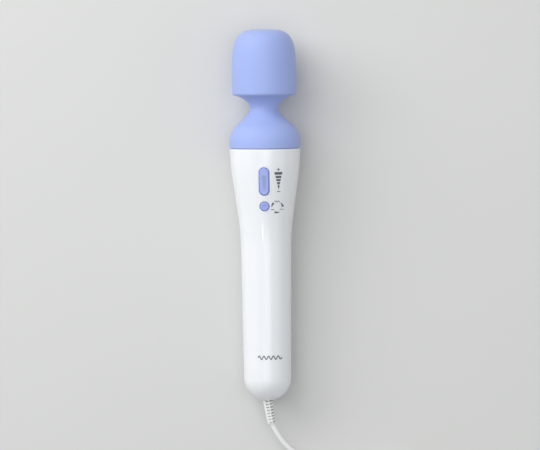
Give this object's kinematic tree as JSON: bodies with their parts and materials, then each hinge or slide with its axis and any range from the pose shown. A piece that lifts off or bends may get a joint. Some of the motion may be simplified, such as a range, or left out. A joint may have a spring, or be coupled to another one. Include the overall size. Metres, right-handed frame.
{
  "type": "handheld wand massager",
  "caption": "Wand massager with a soft round head on a flexible neck, a tapered two-shell handle with a rocker key and a round key, and a corded plug.",
  "frame": {"origin": "centre of the head's flat crown", "axes": "+Y out of the crown along the wand, +Z out of the side that carries the keys, +X to the right seen from above with the head away"},
  "size_m": [0.1725, 0.414, 0.063],
  "materials": {
    "cap_silicone": "matt lavender silicone",
    "key_plastic": "satin lavender moulded keys",
    "casing_abs": "glossy white ABS",
    "cord_pvc": "satin white PVC",
    "nylon": "natural nylon",
    "dark_plastic": "black moulded plastic",
    "steel": "machined or zinc plated",
    "brass": "drawn brass",
    "copper": "varnished copper windings",
    "ferrite": "sintered ferrite",
    "circuit_board": "solder-masked glass epoxy",
    "fuse_glass": "clear glass tube",
    "blue_coat": "blue sleeve or dip coat",
    "brown_coat": "brown lead insulation",
    "red_coat": "red dip coat or insulation"
  },
  "bodies": {
    "handle": {"front_casing": "casing_abs", "rear_casing": "casing_abs", "casing_screw_1": "steel", "casing_screw_2": "steel", "casing_screw_3": "steel", "casing_screw_4": "steel", "neck_collar": "nylon", "neck_sleeve": "cap_silicone", "motor_can": "steel", "motor_end_cap": "dark_plastic", "motor_magnet_left": "ferrite", "motor_magnet_right": "ferrite", "motor_bush": "brass", "motor_mount_front": "nylon", "motor_mount_rear": "nylon", "control_board": "circuit_board", "switch_body_up": "dark_plastic", "switch_body_down": "dark_plastic", "switch_body_power": "dark_plastic", "rocker_pin": "steel", "power_board": "circuit_board", "main_capacitor": "blue_coat", "film_capacitor": "red_coat", "bridge_rectifier": "dark_plastic", "varistor": "blue_coat", "mains_fuse": "fuse_glass", "choke_coil": "copper", "motor_lead_1": "red_coat", "motor_lead_2": "dark_plastic", "mains_lead_live": "brown_coat", "mains_lead_neutral": "blue_coat", "cord_clamp": "nylon", "clamp_screw_1": "steel", "clamp_screw_2": "steel", "mains_cord_inner": "cord_pvc"},
    "neck_link": {"neck_spring": "steel"},
    "head": {"head_cap": "cap_silicone", "head_housing": "nylon", "head_base": "nylon", "head_screw_1": "steel", "head_screw_2": "steel", "head_screw_3": "steel", "bearing_front_outer": "steel", "bearing_rear_outer": "steel"},
    "eccentric": {"head_shaft": "steel", "bearing_front_inner": "steel", "bearing_rear_inner": "steel", "eccentric_weight": "steel"},
    "rotor": {"motor_armature": "copper", "drive_coupling": "dark_plastic"},
    "power_button": {"power_key": "key_plastic"},
    "power_plunger": {"switch_plunger_power": "nylon"},
    "rocker": {"speed_key": "key_plastic"},
    "up_plunger": {"switch_plunger_up": "nylon"},
    "down_plunger": {"switch_plunger_down": "nylon"},
    "boot": {"cord_boot": "cord_pvc"},
    "cord": {"mains_cord": "cord_pvc", "mains_plug": "cord_pvc", "plug_blade_1": "brass", "plug_blade_2": "brass"}
  },
  "joints": [
    {"name": "neck_pitch", "type": "hinge", "parent": "handle", "child": "neck_link", "pos_m": [0, -0.0697, 0], "axis": [1, 0, 0], "range_deg": [-12, 12], "stiffness_Nm_per_rad": 3.5, "deforming": ["neck_sleeve", "neck_spring", "drive_coupling"]},
    {"name": "neck_side", "type": "hinge", "parent": "neck_link", "child": "head", "pos_m": [0, -0.0697, 0], "axis": [0, 0, 1], "range_deg": [-12, 12], "stiffness_Nm_per_rad": 3.5},
    {"name": "motor_spin", "type": "hinge", "parent": "handle", "child": "rotor", "pos_m": [0, -0.134, 0], "axis": [0, 1, 0], "continuous": true},
    {"name": "head_shaft_spin", "type": "hinge", "parent": "head", "child": "eccentric", "pos_m": [0, -0.03, 0], "axis": [0, 1, 0], "continuous": true},
    {"name": "power_press", "type": "slide", "parent": "handle", "child": "power_button", "axis": [0, 0, -1], "range_m": [0, 0.0005], "stiffness_N_per_m": 150, "springref_m": -0.001},
    {"name": "power_plunger_press", "type": "slide", "parent": "handle", "child": "power_plunger", "axis": [0, 0, -1], "range_m": [0, 0.0005]},
    {"name": "speed_rock", "type": "hinge", "parent": "handle", "child": "rocker", "pos_m": [0, -0.1333, 0.024], "axis": [1, 0, 0], "range_deg": [-2.5, 2.5], "stiffness_Nm_per_rad": 0.02},
    {"name": "up_plunger_press", "type": "slide", "parent": "handle", "child": "up_plunger", "axis": [0, 0, -1], "range_m": [-0.00037, 0.00037]},
    {"name": "down_plunger_press", "type": "slide", "parent": "handle", "child": "down_plunger", "axis": [0, 0, -1], "range_m": [-0.0004, 0.0004]},
    {"name": "boot_side", "type": "hinge", "parent": "handle", "child": "boot", "pos_m": [0, -0.327, 0], "axis": [0, 0, 1], "range_deg": [-40, 12], "stiffness_Nm_per_rad": 0.3, "deforming": ["cord_boot"]},
    {"name": "cord_lift", "type": "hinge", "parent": "boot", "child": "cord", "pos_m": [0.0033, -0.3496, -0.0016], "axis": [1, 0, 0], "range_deg": [-20, 6], "stiffness_Nm_per_rad": 0.05, "deforming": ["mains_cord"]}
  ],
  "couplings": [
    {"joint": "head_shaft_spin", "follows": "motor_spin", "ratio": 1},
    {"joint": "power_plunger_press", "follows": "power_press", "ratio": 1},
    {"joint": "speed_rock", "follows": "up_plunger_press", "rad_per_m": -117.65},
    {"joint": "down_plunger_press", "follows": "up_plunger_press", "ratio": -1}
  ]
}
